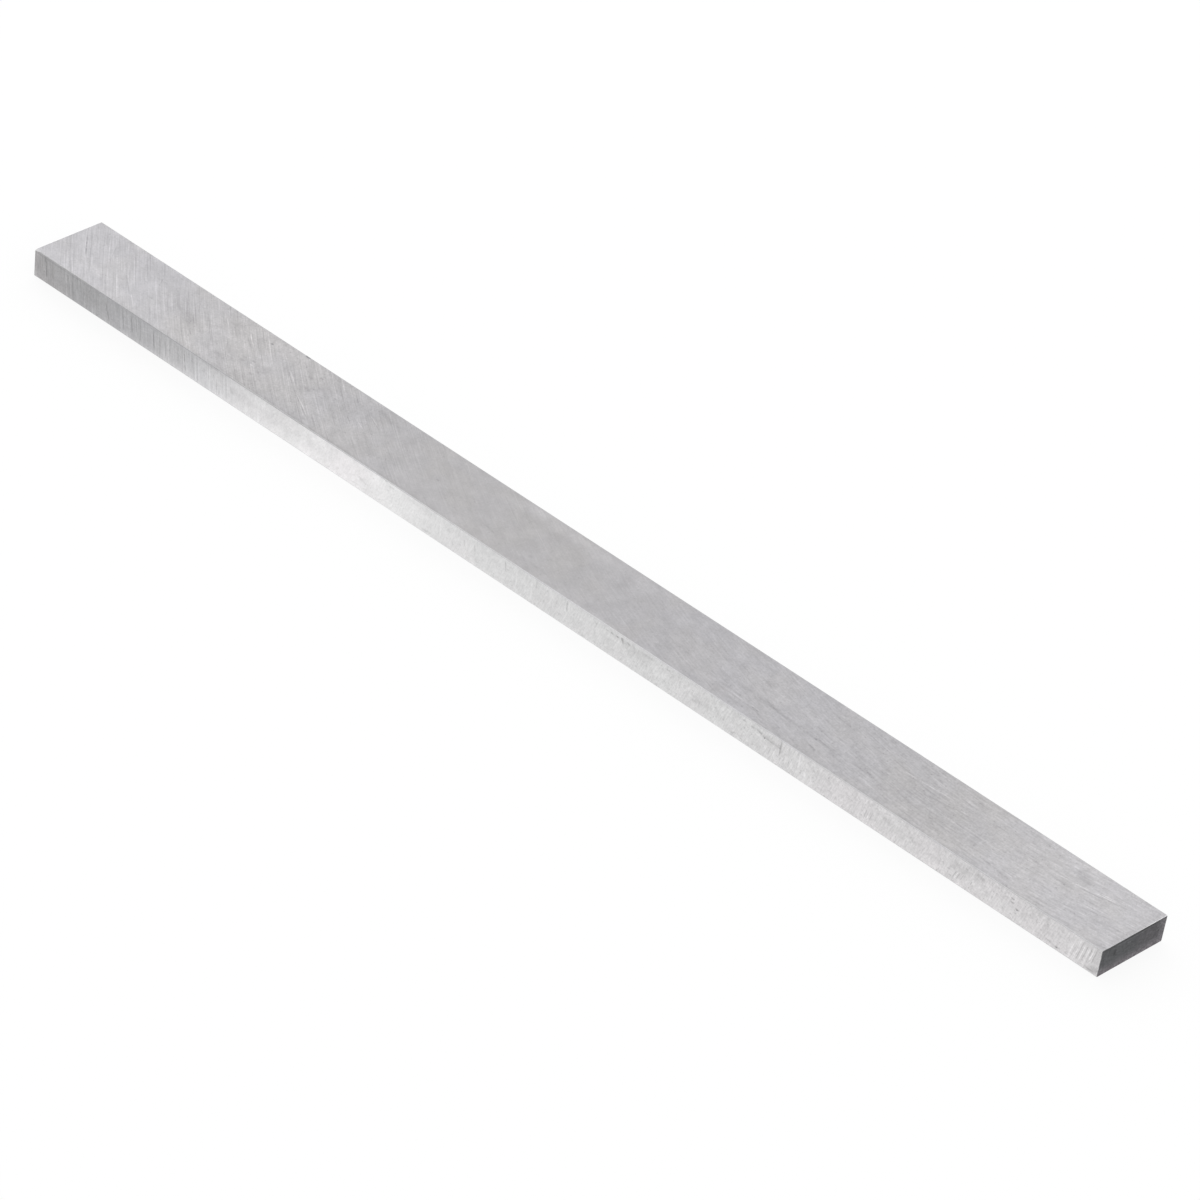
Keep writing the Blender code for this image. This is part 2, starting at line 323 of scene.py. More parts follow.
# Wide soft patches of the front side, in the same form
FRONT_PATCHES_MM = (
    (-94.0, 4.2, -72.0, 4.2, 1.5, 0.05), (-90.0, 0.9, -62.0, 0.9, 1.3, -0.06),
    (-62.5, 4.1, -52.0, 4.1, 1.4, 0.11), (-58.0, 2.5, -38.0, 2.5, 1.5, -0.07),
    (-27.0, 4.0, -12.0, 4.0, 1.3, -0.06), (42.0, 4.2, 74.0, 4.2, 1.5, 0.05),
    (-25.0, 4.2, -20.0, 4.2, 1.2, -0.06), (14.2, 3.6, 20.6, 3.4, 1.9, -0.09),
    (40.2, 3.7, 44.8, 3.6, 1.7, -0.06), (45.6, 2.8, 50.4, 2.8, 2.2, 0.04),
    (74.8, 3.6, 80.2, 3.6, 1.8, -0.07), (30.0, 0.9, 103.0, 0.9, 1.3, 0.04),
    (96.4, 0.9, 99.6, 0.9, 1.0, -0.12),
)

# Marks on both cut ends, in the same form with y and z
END_MARKS_MM = (
    (-3.5, 4.1, -3.4, 2.5, 0.38, -0.50), (-3.8, 4.45, -3.1, 4.4, 0.24, -0.36),
    (0.3, 4.0, 1.5, 3.9, 0.55, -0.24), (-1.6, 3.4, 1.0, 3.2, 0.80, -0.14),
    (-5.7, 4.42, 5.4, 4.38, 0.12, 0.50), (-5.9, 4.70, 5.7, 4.68, 0.15, -0.34),
    (0.8, 4.35, 1.8, 4.3, 0.15, 0.40), (1.7, 4.2, 2.6, 4.2, 0.26, -0.26),
    (-1.4, 3.9, -0.4, 3.9, 0.24, 0.22), (4.75, 4.6, 4.75, 0.8, 0.12, -0.30),
    (-5.55, 2.4, -5.45, 0.5, 0.18, 0.30), (-5.3, 2.6, -5.2, 1.2, 0.12, -0.26),
    (-4.6, 1.2, -3.4, 1.1, 0.22, -0.22), (2.9, 1.9, 4.2, 1.8, 0.20, -0.20),
    (-1.2, 1.4, 0.2, 1.3, 0.20, -0.20), (1.4, 1.0, 2.2, 0.9, 0.18, 0.24),
)

# Painted light on the fine rims, with x and z: painted shade over the highlights of the near end's front
# upright rim and of its top rim, and a painted highlight on its back upright rim
RIM_PAINTED_LIGHT_MM = (
    (98.93, -4.0, 98.93, 9.0, 0.20, -0.85),
    (97.9, 5.0, 100.7, 5.0, 0.40, -0.45),
    (101.04, -2.0, 101.04, 7.0, 0.10, 0.35),
)

# Marks on the long edges, with x and z: brighter low down in the middle, and a painted contact shadow
# darkening the foot towards the near end
EDGE_FOOT_AND_SHADOW_MM = (
    (-75.0, 0.0, 45.0, 0.0, 0.50, 0.14),
    (35.0, 0.0, 135.0, 0.0, 0.50, -0.32),
)

# Small pits and nicks: x, y, z, and size along each axis, all as cut into the solid. The lumps that cut them
# are balls of a low roundness, each turned by some degrees more than the one before.
PITS_MM = (
    (-62.1, 4.1, 5.0, 0.46, 0.32, 0.10),
    (-56.5, 5.85, 5.0, 1.00, 0.44, 0.16),
    (-64.0, 5.95, 5.0, 0.40, 0.22, 0.12),
    (84.9, -6.0, 2.45, 0.26, 0.05, 0.22),
    (92.0, -6.0, 0.55, 0.30, 0.04, 0.18),
    (13.6, -6.0, 4.20, 0.26, 0.05, 0.20),
    (40.5, -6.0, 3.45, 0.26, 0.05, 0.22),
)
PIT_ROUNDNESS = 2
PIT_TURN = 40.0

# The finish's greys, which drift into each other: the wide faces', the sides', and the cut ends'
LAVENDER_GREY = (1.000, 0.984, 1.020)
WARM_GREY = (1.000, 0.976, 0.984)
PLAIN_GREY = (1.000, 0.996, 0.998)
PINK_GREY = (1.000, 0.977, 0.988)
COOL_GREY = (1.000, 0.993, 1.018)
BLUE_GREY = (0.975, 0.998, 1.045)
PURPLE_GREY = (1.045, 0.955, 1.030)

# How light each surface is along the bar, from the far end at 0 to the near end at 1
TOP_TONES = (
    (0.0, 0.420), (0.06, 0.435), (0.12, 0.435), (0.25, 0.428), (0.32, 0.425), (0.60, 0.421),
    (0.72, 0.420), (0.82, 0.405), (0.90, 0.425), (1.0, 0.414),
)
# Painted reflection in the front's tones: painted darker over the far stretch, a painted highlight near 0.3,
# and the side painted lighter than the wide faces
FRONT_TONES_WITH_REFLECTION = (
    (0.0, 0.392), (0.08, 0.428), (0.15, 0.565), (0.22, 0.728), (0.30, 0.855), (0.36, 0.812),
    (0.42, 0.745), (0.52, 0.710), (0.70, 0.688), (1.0, 0.688),
)
EDGE_TONES = (
    (0.0, 0.40), (0.17, 0.40), (0.22, 0.46), (0.27, 0.48), (0.32, 0.58), (0.45, 0.59),
    (0.57, 0.63), (0.70, 0.58), (0.84, 0.56), (1.0, 0.54),
)
BACK_EDGE_TONES = (
    (0.0, 0.45), (0.07, 0.45), (0.12, 0.49), (0.17, 0.48), (0.22, 0.52), (0.27, 0.51),
    (0.32, 0.57), (0.42, 0.55), (0.57, 0.55), (0.72, 0.48), (0.85, 0.46), (1.0, 0.48),
)
UNDERSIDE_TONES = ((0.0, 0.43), (0.5, 0.42), (1.0, 0.43))
# The back side takes the sides' tone, painted lighter than the wide faces' as on the front
BACK_TONES = ((0.0, 0.66), (0.5, 0.69), (1.0, 0.67))
RIM_TONES = ((0.0, 0.76), (1.0, 0.76))
WORN_TONES = ((0.0, 0.48), (1.0, 0.48))
PIT_TONES = ((0.0, 0.30), (1.0, 0.30))

# The cut ends: their tone, what is added to it low down and at the back, and from where to where in mm they
# are lighter low down, which is painted reflection of the floor, and at the back, scorched under the top
# edge, and purple towards the back
END_TONE = 0.088
LOW_AND_BACK_TONE = 0.078
FLOOR_REFLECTION_MM = (2.3, 0.2)
BACK_LIGHTER_MM = (4.3, 5.4)
BACK_LIGHTER_SHARE = 0.7
SCORCH_MM = (4.50, 4.80)
PURPLE_MM = (-1.0, 3.0)
PURPLE_SHARE = 0.5

# The wide faces' strip by the front edge, along the bar: 0 darkens it, 1 lightens it, and 0.5 leaves it. It
# begins some way in and is full nearer the edge.
FRONT_STRIP = (
    (0.0, 0.56), (0.07, 0.38), (0.12, 0.33), (0.17, 0.16), (0.22, 0.20), (0.32, 0.08),
    (0.43, 0.56), (0.57, 0.78), (0.72, 0.38), (0.85, 0.20), (1.0, 0.35),
)
EVEN_STRIP = ((0.0, 0.5), (1.0, 0.5))
STRIP_CHANGE = 0.22
STRIP_INNER_MM = 0.80
STRIP_OUTER_MM = 0.10

# How strong the wide faces' long lines, their short lines and their mottling are along the bar
FAR_STRENGTH = ((0.0, 0.90), (0.10, 1.0), (0.27, 1.0), (0.36, 0.45), (0.50, 0.20), (1.0, 0.20))
NEAR_STRENGTH = ((0.0, 0.10), (0.30, 0.16), (0.50, 0.30), (0.62, 0.65), (0.85, 0.95), (1.0, 1.0))
WIDE_MOTTLING = (
    (0.0, 0.72), (0.10, 0.72), (0.16, 0.92), (0.27, 0.92), (0.34, 0.56), (0.45, 0.48),
    (0.58, 0.62), (0.70, 0.90), (0.88, 1.0), (1.0, 0.95),
)

# How warm the wide faces' grey is along the bar, from lavender at 0 to warm at 1
WARMTH = (
    (0.0, 0.15), (0.10, 0.25), (0.14, 0.75), (0.30, 0.55), (0.36, 0.80), (0.50, 0.80),
    (0.60, 0.25), (0.74, 0.25), (0.84, 0.75), (0.90, 0.45), (1.0, 0.45),
)
EVEN_WARMTH = ((0.0, 0.5), (1.0, 0.5))

# The sides: where the front's deeply lined far stretch ends, how the tones lean and fall with height, the
# fall a painted reflection lighter low down, how strong the slanted lines, the mottling and the pink tint are
# along the bar, where the crossing lines rise and end, and how much the painted floor reflection lightens the
# foot, also in the far stretch
FAR_STRETCH_START = 0.26
FAR_STRETCH_FULL = 0.15
LEAN_PER_MM = 0.010
# The fall with height is painted reflection, lighter low down
FALL_PER_MM = 0.011
SLANTED_STRENGTH = (
    (0.0, 0.30), (0.16, 0.40), (0.26, 0.42), (0.40, 0.55), (0.52, 0.80), (0.75, 1.0),
    (1.0, 1.0),
)
SIDE_MOTTLING = (
    (0.0, 0.80), (0.10, 0.70), (0.16, 0.66), (0.24, 0.55), (0.34, 0.48), (0.46, 0.58),
    (0.60, 0.72), (1.0, 0.95),
)
PINKNESS = (
    (0.0, 1.0), (0.06, 0.2), (0.18, 0.3), (0.26, 0.3), (0.31, 0.75), (0.35, 0.15),
    (0.40, 0.1), (0.68, 0.1), (0.74, 0.6), (0.84, 0.9), (1.0, 0.9),
)
CROSSING_RISE = (0.18, 0.25)
CROSSING_END = (0.42, 0.34)
# The foot's strip and how much lighter it is, in the far stretch too, are painted reflection of the floor
FOOT_SHEEN_MM = 1.8
FOOT_SHEEN = 0.01
FAR_STRETCH_FOOT_SHEEN = 0.05

# The surfaces' finishes. A wide face has a name, tones, strip, warmth, marks and seed. A side has a name,
# tones, marks, whether it has the far stretch and seed. The rest have a name, tones, roughness, contrast,
# marks.
WIDE_FINISHES = {
    TOP_FACE: ("top_face_steel", TOP_TONES, FRONT_STRIP, WARMTH, TOP_MARKS_MM + TOP_PATCHES_MM, 1.0),
    UNDERSIDE: ("underside_steel", UNDERSIDE_TONES, EVEN_STRIP, EVEN_WARMTH, (), 21.0),
}
SIDE_FINISHES = {
    FRONT_SIDE: ("front_side_steel", FRONT_TONES_WITH_REFLECTION, FRONT_MARKS_MM + FRONT_PATCHES_MM, 1.0, 2.0),
    BACK_SIDE: ("back_side_steel", BACK_TONES, (), 0.0, 17.0),
}
EDGE_FINISHES = {
    LONG_EDGE: ("long_edge_steel", EDGE_TONES, 0.32, 0.30, EDGE_FOOT_AND_SHADOW_MM),
    BACK_EDGE: ("back_edge_steel", BACK_EDGE_TONES, 0.32, 0.30, ()),
    END_RIM: ("end_rim_steel", RIM_TONES, 0.30, 0.25, RIM_PAINTED_LIGHT_MM),
    WORN_CORNER: ("worn_corner_steel", WORN_TONES, 0.45, 0.40, ()),
    PIT: ("pit_steel", PIT_TONES, 0.50, 0.50, ()),
}


def add(tree, kind, inputs=None, **settings):
    """A node with its settings, and each input set to a value or linked to a socket."""
    made = tree.nodes.new(kind)
    for name, value in settings.items():
        setattr(made, name, value)
    fill_sockets(tree, made.inputs, inputs or {})
    return made


def fill_sockets(tree, sockets, values):
    """Sets each named or numbered socket to a value, or links it to another socket."""
    for key, value in values.items():
        if isinstance(value, bpy.types.NodeSocket):
            tree.links.new(value, sockets[key])
        else:
            sockets[key].default_value = value


def maths(tree, operation, first, second=0.0, third=0.0):
    inputs = {0: first, 1: second, 2: third}
    return add(tree, "ShaderNodeMath", inputs, operation=operation).outputs[0]


def vectors(tree, operation, first, second):
    return add(tree, "ShaderNodeVectorMath", {0: first, 1: second}, operation=operation).outputs[0]


def dot(tree, first, second):
    return add(tree, "ShaderNodeVectorMath", {0: first, 1: second}, operation="DOT_PRODUCT").outputs["Value"]


def times(tree, *values):
    product = values[0]
    for value in values[1:]:
        product = maths(tree, "MULTIPLY", product, value)
    return product


def swing(tree, value, amount):
    """1 where value is 0.5, and away from 1 by amount for each whole unit."""
    centred = maths(tree, "SUBTRACT", value, 0.5)
    return maths(tree, "MULTIPLY_ADD", centred, amount, 1.0)


def changed(tree, share, amount):
    """1 where share is 0, and 1 plus amount where it is 1."""
    return maths(tree, "MULTIPLY_ADD", share, amount, 1.0)


def soft_step(tree, value, start, end):
    """0 before start and 1 after end, smooth between. Start may be the higher of the two."""
    inputs = {"Value": value, "From Min": start, "From Max": end}
    settings = {"interpolation_type": "SMOOTHSTEP", "clamp": False}
    return add(tree, "ShaderNodeMapRange", inputs, **settings).outputs[0]


def noise(tree, place, detail=2.0, roughness=0.5):
    inputs = {"Vector": place, "Scale": 1.0, "Detail": detail, "Roughness": roughness}
    return add(tree, "ShaderNodeTexNoise", inputs, noise_dimensions="3D").outputs[0]


def ramp(tree, value, stops):
    """A number that follows the stops, each a position and a height from 0 to 1."""
    made = add(tree, "ShaderNodeValToRGB", {0: value})
    curve = made.color_ramp
    curve.interpolation = "CARDINAL"
    while len(curve.elements) < len(stops):
        curve.elements.new(0.5)
    for element, (position, height) in zip(curve.elements, stops):
        element.position = position
        element.color = (height, height, height, 1.0)
    return made.outputs[0]


def new_group(name, places, numbers, outputs):
    """A node group with place and number inputs and number outputs, and the sockets at both its ends."""
    tree = bpy.data.node_groups.new(name, "ShaderNodeTree")
    for label in ("Place",) + places:
        tree.interface.new_socket(label, in_out="INPUT", socket_type="NodeSocketVector")
    for label in numbers:
        tree.interface.new_socket(label, in_out="INPUT", socket_type="NodeSocketFloat")
    for label in outputs:
        tree.interface.new_socket(label, in_out="OUTPUT", socket_type="NodeSocketFloat")
    return tree, add(tree, "NodeGroupInput").outputs, add(tree, "NodeGroupOutput").inputs


def use_group(tree, group, inputs):
    made = tree.nodes.new("ShaderNodeGroup")
    made.node_tree = group
    fill_sockets(tree, made.inputs, inputs)
    return made.outputs


def grinding_group():
    """What a wheel leaves along circles about a centre: fine lines, and sparse light and dark hairlines."""
    numbers = ("Centre X", "Centre Y", "Lines per mm", "Line length", "Seed")
    tree, given, result = new_group("grinding", (), numbers, ("Lines", "Light hairs", "Dark hairs"))
    centre = add(tree, "ShaderNodeCombineXYZ", {0: given["Centre X"], 1: given["Centre Y"]}).outputs[0]
    offset = vectors(tree, "SUBTRACT", given["Place"], centre)
    reach = add(tree, "ShaderNodeVectorMath", {0: offset}, operation="LENGTH").outputs["Value"]
    split = add(tree, "ShaderNodeSeparateXYZ", {0: offset}).outputs
    turn = maths(tree, "ARCTAN2", split[0], maths(tree, "MULTIPLY", split[1], -1.0))
    along = maths(tree, "DIVIDE", maths(tree, "MULTIPLY", turn, reach), given["Line length"])
    across = maths(tree, "MULTIPLY", reach, given["Lines per mm"])
    fine = add(tree, "ShaderNodeCombineXYZ", {0: across, 1: along, 2: given["Seed"]}).outputs[0]
    tree.links.new(noise(tree, fine, LINE_DETAIL, LINE_ROUGHNESS), result["Lines"])
    hairs = noise(tree, vectors(tree, "MULTIPLY", fine, HAIR_STRETCH), HAIR_DETAIL)
    tree.links.new(soft_step(tree, hairs, *LIGHT_HAIRS), result["Light hairs"])
    tree.links.new(soft_step(tree, hairs, *DARK_HAIRS), result["Dark hairs"])
    return tree


def ground_lines(tree, groups, kind, place, seed):
    """Lines of one kind."""
    return use_group(tree, groups["grinding"], {**kind, "Place": place, "Seed": seed})


def mottling_group():
    """Unevenness of the steel itself: grain, blotches, clouds, sparse dark spots and a slow drift of tint."""
    outputs = ("Grain", "Blotches", "Clouds", "Spots", "Drift")
    tree, given, result = new_group("mottling", (), ("Seed",), outputs)
    seeds = {axis: given["Seed"] for axis in range(3)}
    seed = add(tree, "ShaderNodeCombineXYZ", seeds).outputs[0]

    def pattern(per_mm, detail):
        scaled = vectors(tree, "MULTIPLY", given["Place"], (per_mm, per_mm, per_mm))
        return noise(tree, vectors(tree, "ADD", scaled, seed), detail)

    tree.links.new(pattern(*GRAIN), result["Grain"])
    tree.links.new(pattern(*BLOTCHES), result["Blotches"])
    tree.links.new(pattern(*CLOUDS), result["Clouds"])
    tree.links.new(soft_step(tree, pattern(*SPOTS), *SPOT_RANGE), result["Spots"])
    tree.links.new(soft_step(tree, pattern(*DRIFT), *DRIFT_RANGE), result["Drift"])
    return tree


def mottled(tree, mottling, uneven, contrast):
    """The brightness of a ground face's grain, blotches, clouds and spots."""
    return (
        swing(tree, mottling["Grain"], times(tree, uneven, contrast["grain"])),
        swing(tree, mottling["Blotches"], times(tree, uneven, contrast["blotches"])),
        swing(tree, mottling["Clouds"], contrast["clouds"]),
        changed(tree, mottling["Spots"], times(tree, uneven, contrast["spots"])),
    )


def mark_group():
    """A hairline or smudge: 1 along its middle, fading to its sides and tips, weaker where it breaks."""
    tree, given, result = new_group("mark", ("Middle", "Along", "Across"), ("Whole",), ("Mark",))
    offset = vectors(tree, "SUBTRACT", given["Place"], given["Middle"])
    lengthwise = maths(tree, "ABSOLUTE", dot(tree, offset, given["Along"]))
    tips = soft_step(tree, lengthwise, 1.0, TIP_FADE)
    crosswise = maths(tree, "ABSOLUTE", dot(tree, offset, given["Across"]))
    sides = soft_step(tree, crosswise, 1.0, 0.0)
    tree.links.new(times(tree, tips, sides, given["Whole"]), result["Mark"])
    return tree


def with_marks(tree, place, group, marks):
    """1 where there is no mark, lighter or darker along each."""
    if not marks:
        return 1.0
    spread = vectors(tree, "MULTIPLY", place, (BREAKS_PER_MM, BREAKS_PER_MM, BREAKS_PER_MM))
    breaks = soft_step(tree, noise(tree, spread), *BREAK_RANGE)
    whole = maths(tree, "MULTIPLY_ADD", breaks, 1 - WEAKEST_SHARE, WEAKEST_SHARE)
    total = 1.0
    for start_x, start_y, end_x, end_y, half_width, change in marks:
        half = Vector((end_x - start_x, end_y - start_y, 0.0)) / 2
        sideways = Vector((-half.y, half.x, 0.0)).normalized()
        inputs = {
            "Place": place,
            "Whole": whole if half_width < SMUDGE_HALF_WIDTH_MM else SMUDGE_STRENGTH,
            "Middle": tuple(Vector((start_x, start_y, 0.0)) + half),
            "Along": tuple(half / half.length_squared),
            "Across": tuple(sideways / half_width),
        }
        total = maths(tree, "MULTIPLY_ADD", use_group(tree, group, inputs)[0], change, total)
    return maths(tree, "MAXIMUM", total, DARKEST_MARK)


def place_in_mm(tree):
    """Object coordinates in mm, whole and split."""
    coordinates = add(tree, "ShaderNodeTexCoord").outputs["Object"]
    scaled = scaled_by(tree, 1 / MM, coordinates)
    return scaled, add(tree, "ShaderNodeSeparateXYZ", {0: scaled}).outputs


def flat_place(tree, first, second):
    """Two axes of a place, laid flat, so that lines and marks run straight through the third."""
    return add(tree, "ShaderNodeCombineXYZ", {0: first, 1: second}).outputs[0]


def share_along(tree, x_mm):
    """0 at the far end and 1 at the near end."""
    inputs = {"Value": x_mm, "From Min": LOW.x / MM, "From Max": HIGH.x / MM}
    return add(tree, "ShaderNodeMapRange", inputs).outputs[0]


def between(tree, first, second, mix):
    """The first tint where mix is 0 and the second where it is 1. Either may be a socket."""
    made = tree.nodes.new("ShaderNodeMix")
    made.data_type = "VECTOR"
    sockets = {socket.name: socket for socket in made.inputs if socket.enabled}
    fill_sockets(tree, sockets, {"Factor": mix, "A": first, "B": second})
    return next(socket for socket in made.outputs if socket.enabled)


def scaled_by(tree, factor, vector):
    """A place or a tint, times one number."""
    return add(tree, "ShaderNodeVectorMath", {0: vector, "Scale": factor}, operation="SCALE").outputs[0]


def steel(name, roughness, metallic=1.0):
    """A metal with nothing linked yet, its nodes and its shader."""
    material = bpy.data.materials.new(name)
    material.use_nodes = True
    shader = material.node_tree.nodes["Principled BSDF"]
    shader.inputs["Roughness"].default_value = roughness
    shader.inputs["Metallic"].default_value = metallic
    return material, material.node_tree, shader


def finish_surface(tree, shader, colour, height, depth_mm):
    """Gives the metal its colour, and a fine relief that follows height."""
    tree.links.new(colour, shader.inputs["Base Color"])
    inputs = {"Height": height, "Distance": depth_mm * MM}
    tree.links.new(add(tree, "ShaderNodeBump", inputs).outputs[0], shader.inputs["Normal"])


def vary_gloss(tree, shader, clouds):
    """Duller where the clouds are high."""
    roughness = maths(tree, "MULTIPLY_ADD", clouds, CLOUDED_ROUGHNESS, LEAST_ROUGHNESS)
    tree.links.new(roughness, shader.inputs["Roughness"])


def wide_face_steel(groups, name, tones, strip, warmth, marks, seed):
    """Ground on a cup wheel: arcs, strong at the far end, faint in the middle and broken at the near end."""
    material, tree, shader = steel(name, GROUND_ROUGHNESS)
    whole, axes = place_in_mm(tree)
    place = flat_place(tree, axes[0], axes[1])
    along = share_along(tree, axes[0])
    long_lines = ground_lines(tree, groups, FAR_LINES, place, seed)
    bands = ground_lines(tree, groups, FAR_BANDS, place, seed + BANDS_SEED)
    short_lines = ground_lines(tree, groups, NEAR_LINES, place, seed + SHORT_LINES_SEED)
    mottling = use_group(tree, groups["mottling"], {"Place": whole, "Seed": seed})
    patchy = maths(tree, "MULTIPLY_ADD", mottling["Clouds"], *CLOUDS_ON_LINES)
    far = times(tree, ramp(tree, along, FAR_STRENGTH), patchy)
    near = times(tree, ramp(tree, along, NEAR_STRENGTH), patchy)
    uneven = ramp(tree, along, WIDE_MOTTLING)
    edge = LOW.y / MM
    in_strip = soft_step(tree, axes[1], edge + STRIP_INNER_MM, edge + STRIP_OUTER_MM)
    strip_change = maths(tree, "MULTIPLY_ADD", ramp(tree, along, strip), STRIP_CHANGE, -STRIP_CHANGE / 2)
    far_hairs = maths(tree, "SUBTRACT", long_lines["Light hairs"], long_lines["Dark hairs"])
    near_hairs = maths(tree, "SUBTRACT", short_lines["Light hairs"], short_lines["Dark hairs"])
    brightness = times(
        tree,
        ramp(tree, along, tones),
        swing(tree, long_lines["Lines"], times(tree, far, WIDE_CONTRAST["far lines"])),
        swing(tree, bands["Lines"], times(tree, far, WIDE_CONTRAST["far bands"])),
        swing(tree, short_lines["Lines"], times(tree, near, WIDE_CONTRAST["near lines"])),
        changed(tree, far_hairs, times(tree, far, WIDE_CONTRAST["far hairs"])),
        changed(tree, near_hairs, times(tree, near, WIDE_CONTRAST["near hairs"])),
        *mottled(tree, mottling, uneven, WIDE_CONTRAST),
        changed(tree, in_strip, strip_change),
        with_marks(tree, place, groups["mark"], marks),
    )
    warm = maths(tree, "MULTIPLY_ADD", mottling["Drift"], *DRIFT_ON_WARMTH)
    warm = maths(tree, "ADD", warm, ramp(tree, along, warmth))
    colour = scaled_by(tree, brightness, between(tree, LAVENDER_GREY, WARM_GREY, warm))
    arcs = times(tree, long_lines["Lines"], far)
    height = maths(tree, "ADD", arcs, times(tree, short_lines["Lines"], near))
    finish_surface(tree, shader, colour, height, FINISH_DEPTH_MM)
    vary_gloss(tree, shader, mottling["Clouds"])
    return material


def side_steel(groups, name, tones, marks, has_far_stretch, seed):
    """Ground across its height, the front's far stretch deeply lined. Painted reflection darkens that stretch
    and lightens the rest.
    """
    material, tree, shader = steel(name, GROUND_ROUGHNESS)
    whole, axes = place_in_mm(tree)
    place = flat_place(tree, axes[0], axes[2])
    along = share_along(tree, axes[0])
    above_middle = maths(tree, "SUBTRACT", axes[2], THICKNESS / MM / 2)
    leaned = maths(tree, "MULTIPLY_ADD", above_middle, -LEAN_PER_MM * has_far_stretch, along)
    uneven = ramp(tree, along, SIDE_MOTTLING)
    deep = ground_lines(tree, groups, UPRIGHT_LINES, place, seed)
    light = ground_lines(tree, groups, SLANTED_LINES, place, seed + SLANTED_SEED)
    faint = ground_lines(tree, groups, CROSSING_LINES, place, seed + CROSSING_SEED)
    mottling = use_group(tree, groups["mottling"], {"Place": whole, "Seed": seed})
    # The far stretch: deep upright lines, and where the tones paint the front's darker reflection
    far_stretch = times(tree, soft_step(tree, along, FAR_STRETCH_START, FAR_STRETCH_FULL), has_far_stretch)
    slanted = ramp(tree, along, SLANTED_STRENGTH)
    crossing = times(tree, soft_step(tree, along, *CROSSING_RISE), soft_step(tree, along, *CROSSING_END))
    foot_mask = soft_step(tree, axes[2], FOOT_SHEEN_MM, 0.0)
    foot_sheen = maths(tree, "MULTIPLY_ADD", far_stretch, FAR_STRETCH_FOOT_SHEEN, FOOT_SHEEN)
    deep_hairs = maths(tree, "SUBTRACT", deep["Light hairs"], deep["Dark hairs"])
    brightness = times(
        tree,
        # Painted reflection: the tones darken the far stretch, paint a highlight beyond it, and fall with
        # height
        ramp(tree, leaned, tones),
        changed(tree, above_middle, -FALL_PER_MM),
        swing(tree, deep["Lines"], times(tree, far_stretch, SIDE_CONTRAST["upright lines"])),
        changed(tree, deep_hairs, times(tree, far_stretch, SIDE_CONTRAST["upright hairs"])),
        swing(tree, light["Lines"], times(tree, slanted, SIDE_CONTRAST["slanted lines"])),
        swing(tree, faint["Lines"], times(tree, crossing, SIDE_CONTRAST["crossing lines"])),
        *mottled(tree, mottling, uneven, SIDE_CONTRAST),
        # Painted reflection of the floor, lightening the foot
        changed(tree, foot_mask, foot_sheen),
        with_marks(tree, place, groups["mark"], marks),
    )
    pink = maths(tree, "MULTIPLY_ADD", mottling["Drift"], *DRIFT_ON_PINKNESS)
    pink = maths(tree, "ADD", pink, ramp(tree, along, PINKNESS))
    cool = times(tree, far_stretch, maths(tree, "SUBTRACT", 1.0, pink))
    tint = between(tree, between(tree, PLAIN_GREY, PINK_GREY, pink), COOL_GREY, cool)
    colour = scaled_by(tree, brightness, tint)
    height = maths(tree, "ADD", times(tree, deep["Lines"], far_stretch), light["Lines"])
    finish_surface(tree, shader, colour, height, FINISH_DEPTH_MM)
    vary_gloss(tree, shader, mottling["Clouds"])
    return material


def cut_end_steel(groups):
    """Cut off dry: dark and rough, darkest under the top edge, lighter at the back, with painted floor
    reflection low down.
    """
    material, tree, shader = steel("cut_end_steel", CUT_ROUGHNESS, CUT_METALLIC)
    whole, axes = place_in_mm(tree)
    place = flat_place(tree, axes[1], axes[2])
    lines = ground_lines(tree, groups, CUT_LINES, place, CUT_LINES_SEED)
    mottling = use_group(tree, groups["mottling"], {"Place": whole, "Seed": CUT_MOTTLING_SEED})
    ragged = maths(tree, "MULTIPLY_ADD", mottling["Grain"], *RAGGED_MM)
    height_ragged = maths(tree, "ADD", axes[2], ragged)
    back_ragged = maths(tree, "ADD", axes[1], ragged)
    # Painted reflection of the floor low down, and lighter towards the back
    floor_reflection = soft_step(tree, height_ragged, *FLOOR_REFLECTION_MM)
    back_lighter = soft_step(tree, back_ragged, *BACK_LIGHTER_MM)
    lighter_low_and_back = maths(tree, "MAXIMUM", floor_reflection, times(tree, back_lighter, BACK_LIGHTER_SHARE))
    scorched = soft_step(tree, height_ragged, *SCORCH_MM)
    grain = maths(tree, "MULTIPLY_ADD", lighter_low_and_back, END_CONTRAST["grain low and back"], END_CONTRAST["grain"])
    brightness = times(
        tree,
        maths(tree, "MULTIPLY_ADD", lighter_low_and_back, LOW_AND_BACK_TONE, END_TONE),
        changed(tree, scorched, END_CONTRAST["scorch"]),
        swing(tree, lines["Lines"], END_CONTRAST["lines"]),
        swing(tree, mottling["Grain"], grain),
        swing(tree, mottling["Blotches"], END_CONTRAST["blotches"]),
        swing(tree, mottling["Clouds"], END_CONTRAST["clouds"]),
        with_marks(tree, place, groups["mark"], END_MARKS_MM),
    )
    backward = soft_step(tree, axes[1], *PURPLE_MM)
    purple = maths(tree, "MAXIMUM", lighter_low_and_back, times(tree, backward, PURPLE_SHARE))
    colour = scaled_by(tree, brightness, between(tree, BLUE_GREY, PURPLE_GREY, purple))
    finish_surface(tree, shader, colour, maths(tree, "ADD", lines["Lines"], mottling["Grain"]), CUT_DEPTH_MM)
    return material


